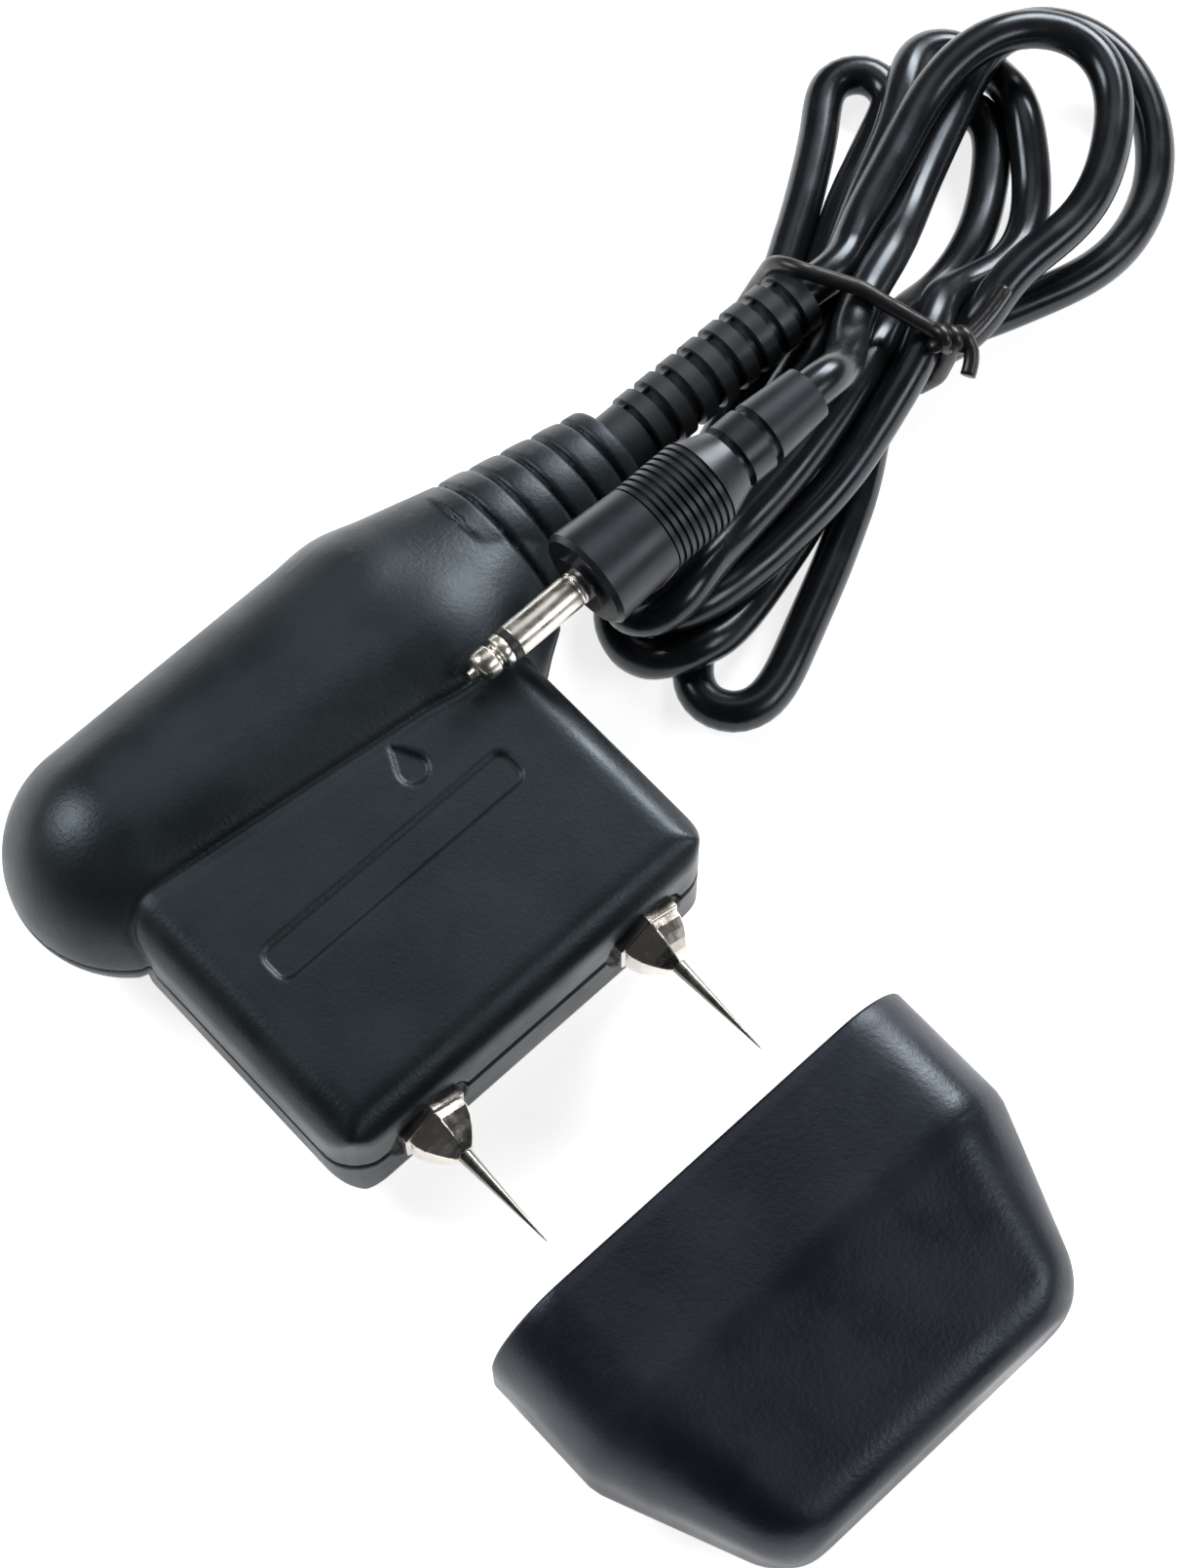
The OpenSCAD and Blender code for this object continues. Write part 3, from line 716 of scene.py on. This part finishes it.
STEP = 0.32
for name, sign in (("upper_shell", 1), ("lower_shell", -1)):
    lo = (-29.5, -0.8, -0.5 if sign > 0 else -11.6)
    hi = (46.2, 52.0, 11.6 if sign > 0 else 0.5)
    v, f = surface_net(lambda x, y, z: np.maximum(housing(x, y, z), 0.03 - sign * z), lo, hi, STEP)
    ob = mesh_object(name + "_skin", to_row(v), f, MAT["housing_plastic"])
    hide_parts(name)


# ---------------------------------------------------------------- cap
def rounded(w, t, r, y, n_corner=14, n_w=26, n_t=8):
    """Rounded rectangle in the plane y, w by t half sizes."""
    r = min(r, w - 0.01, t - 0.01)
    pts = []
    for cx, cz, a0, n_side, d in ((1, 1, 0, n_w, (-1, 0)), (-1, 1, 90, n_t, (0, -1)),
                                  (-1, -1, 180, n_w, (1, 0)), (1, -1, 270, n_t, (0, 1))):
        ox, oz = cx * (w - r), cz * (t - r)
        for k in range(n_corner):
            a = math.radians(a0 + 90 * k / n_corner)
            pts.append((ox + r * math.cos(a), y, oz + r * math.sin(a)))
        a = math.radians(a0 + 90)
        sx, sz = ox + r * math.cos(a), oz + r * math.sin(a)
        length = 2 * (w - r) if d[0] else 2 * (t - r)
        for k in range(n_side):
            pts.append((sx + d[0] * length * k / n_side, y, sz + d[1] * length * k / n_side))
    return np.array(pts)


def cap_ring(depth, g):
    """Half width, half thickness and corner radius of the cap at a depth, made smaller by g."""
    k = g * 1.3
    if depth <= 13.4:
        return 25.5 - g, 10.9 - g, 8.4 - k
    t = (depth - 13.4) / (27.5 - 13.4)
    return 25.5 - g - 5.7 * t, 10.9 - g - 4.1 * t, 8.4 - k - (3.4 - 0.3 * k) * t


def cap_rings(g, start):
    """Rings of the cap's outside, or of its inside a wall g further in, from the mouth to the closed end."""
    rings = []
    end = 31.5 - g
    radius = 3.9 - 0.7 * g
    turn = end - radius
    depths = list(np.linspace(start, 12.9, 12)) + [13.2, 13.4, 13.6] + list(np.linspace(14.0, turn, 13))
    for dd in depths:
        w, t, r = cap_ring(dd, g)
        near = 0.10 * math.exp(-((dd - 13.4) / 0.35) ** 2)
        rings.append(rounded(w - near, t - near, r, -21.5 - dd))
    w, t, r = cap_ring(turn, g)
    slope_w, slope_t = 5.7 / 14.1, 4.1 / 14.1
    for a in np.linspace(0, 90, 12)[1:]:
        a = math.radians(a)
        dd = turn + radius * math.sin(a)
        inset = radius * (1 - math.cos(a))
        more = math.sin(a) * radius
        w2 = w - inset - slope_w * more * (1 - math.sin(a) * 0.5)
        t2 = t - inset * 0.8 - slope_t * more * (1 - math.sin(a) * 0.5)
        rings.append(rounded(w2, t2, max(0.6, min(r, t2 - 0.05) - inset * 0.25), -21.5 - dd))
    for s in (0.85, 0.65, 0.4, 0.15):
        rings.append(rounded(w2 - t2 * (1 - s), t2 * s, max(0.3, (t2 * s) * 0.6), -21.5 - end))
    return rings


outer = cap_rings(0.0, 0.35)
inner = cap_rings(2.0, 0.35)
w, t, r = cap_ring(0, 0)
lip = [rounded(w - e, t - e, r - e, -21.5 - dd) for e, dd in ((0.1, 0.1), (0.3, 0.0))]
back = [rounded(w - e, t - e, r - 1.3 * e, -21.5 - dd) for e, dd in ((1.7, 0.0), (1.9, 0.1))]
rings = outer[::-1] + lip + back + inner
v, f = loft(rings, True, True)
cap = mesh_object("cap_skin", to_row(v), f, MAT["cap_plastic"], body="cap")
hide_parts("cap")


# ---------------------------------------------------------------- needle nuts
# y and corner radius, from inside the housing to the needle
NUT = [(0.8, 3.2), (0.8, 4.1), (-0.75, 4.1), (-0.75, 3.75), (-1.6, 3.6), (-2.5, 3.2), (-3.3, 2.6),
       (-4.0, 1.95), (-4.5, 1.4), (-4.75, 1.05)]


def hexagon(cx, y, radius):
    """Six corners round the needle axis, one of them straight up."""
    turn = [math.radians(60 * k) for k in range(6)]
    return np.array([(cx + radius * math.sin(a), y, radius * math.cos(a)) for a in turn])


def needle_nut(name, cx):
    """Hexagonal shoulder, then six curved flats that close in on the needle."""
    v, f = loft([hexagon(cx, y, radius) for y, radius in NUT], True, True)
    ob = mesh_object(name + "_skin", to_row(v), f, MAT["nickel_plate"], smooth=False)
    b = ob.modifiers.new("edges", "BEVEL")
    b.width = 0.00012
    b.segments = 2
    b.limit_method = "ANGLE"
    b.angle_limit = math.radians(25)
    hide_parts(name)


needle_nut("collet_nut_left", NEEDLE_X[0])
needle_nut("collet_nut_right", NEEDLE_X[1])


# ---------------------------------------------------------------- jack
def turned(cad_name, profile, material_slot):
    """Round piece on the jack's axis, standing for a CAD piece."""
    lo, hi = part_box("plug_body")
    cy, cz = (lo[1] + hi[1]) * 500 + OY, (lo[2] + hi[2]) * 500 + OZ
    x0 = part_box(cad_name)[0][0] * 1000 + OX
    n = 48
    turn = np.linspace(0, 2 * math.pi, n, endpoint=False)
    rings = [np.stack([np.full(n, x0 + dx), cy + r * np.cos(turn), cz + r * np.sin(turn)], 1)
             for dx, r in profile]
    v, f = loft(rings, True, True)
    ob = mesh_object(cad_name + "_turned", to_row(v), f, MAT[material_slot])
    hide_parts(cad_name)


# distance from the piece's -X end, and radius
TIP = [(0.0, 0.35), (0.08, 0.5), (0.12, 0.52), (0.7, 0.58), (0.85, 0.75), (0.95, 1.1), (1.15, 1.38),
       (1.45, 1.52), (1.9, 1.58), (2.7, 1.58), (2.85, 1.55), (2.95, 1.45), (3.05, 1.26), (3.1, 1.22),
       (3.4, 1.22), (3.45, 1.26), (3.55, 1.5), (3.62, 1.62), (3.7, 1.66), (4.56, 1.67), (4.6, 1.62)]
SLEEVE = [(0.0, 1.6), (0.04, 1.68), (0.12, 1.74), (0.2, 1.75), (7.6, 1.75), (7.68, 1.72), (7.72, 1.62),
          (7.78, 1.6), (8.0, 1.6), (8.06, 1.62), (8.1, 1.72), (8.18, 1.75), (8.9, 1.75)]
turned("jack_tip", TIP, "jack_nickel")
turned("jack_sleeve", SLEEVE, "jack_nickel")


# ---------------------------------------------------------------- small parts kept from the CAD, edges eased
def ease_edges(ob, width, angle):
    """Small bevel, in millimetres, on every edge sharper than this many degrees."""
    b = ob.modifiers.new("edges", "BEVEL")
    b.width = width / 1000
    b.segments = 2
    b.limit_method = "ANGLE"
    b.angle_limit = math.radians(angle)


ease_edges(node["strain_relief"], 0.22, 35)
ease_edges(node["plug_body"], 0.12, 35)


# ---------------------------------------------------------------- stage
FLOOR_HALF, FLOOR_Z = 3, -0.0004  # metres; just under the object
me = bpy.data.meshes.new("floor")
corners = ((-1, -1), (1, -1), (1, 1), (-1, 1))
me.from_pydata([(sx * FLOOR_HALF, sy * FLOOR_HALF, FLOOR_Z) for sx, sy in corners], [], [(0, 1, 2, 3)])
floor = bpy.data.objects.new("floor", me)
scene.collection.objects.link(floor)
fm = bpy.data.materials.new("floor_white")
fm.use_nodes = True
b = fm.node_tree.nodes["Principled BSDF"]
b.inputs["Base Color"].default_value = (0.92, 0.92, 0.92, 1)
b.inputs["Roughness"].default_value = 0.9
b.inputs["Emission Color"].default_value = (1, 1, 1, 1)
b.inputs["Emission Strength"].default_value = 0.8
me.materials.append(fm)
floor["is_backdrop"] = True

world = bpy.data.worlds.new("studio")
scene.world = world
world.use_nodes = True
world.node_tree.nodes["Background"].inputs["Color"].default_value = (1, 1, 1, 1)
world.node_tree.nodes["Background"].inputs["Strength"].default_value = 0.05


LIGHT_TARGET = (25, 15, 0)


def softbox(name, azimuth, elevation, distance, size, power):
    """Area light that faces the object from this azimuth and elevation. Metres and watts."""
    back = toward(azimuth, elevation)
    light = bpy.data.lights.new(name, "AREA")
    light.shape = "RECTANGLE"
    light.size, light.size_y = size
    light.energy = power
    ob = bpy.data.objects.new(name, light)
    scene.collection.objects.link(ob)
    ob.location = P(*LIGHT_TARGET) + back * distance
    ob.rotation_mode = "QUATERNION"
    ob.rotation_quaternion = (-back).to_track_quat("-Z", "Y")


softbox("key_left", -152, 40, 0.7, (0.26, 0.26), 2.2)
softbox("key_right", 109, 31, 0.6, (0.30, 0.22), 3.8)
softbox("back", 140, 62, 0.8, (0.42, 0.42), 0.45)
softbox("front_right", 32, 36, 0.7, (0.36, 0.20), 1.3)

scene.view_settings.view_transform = "Standard"

lo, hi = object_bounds()
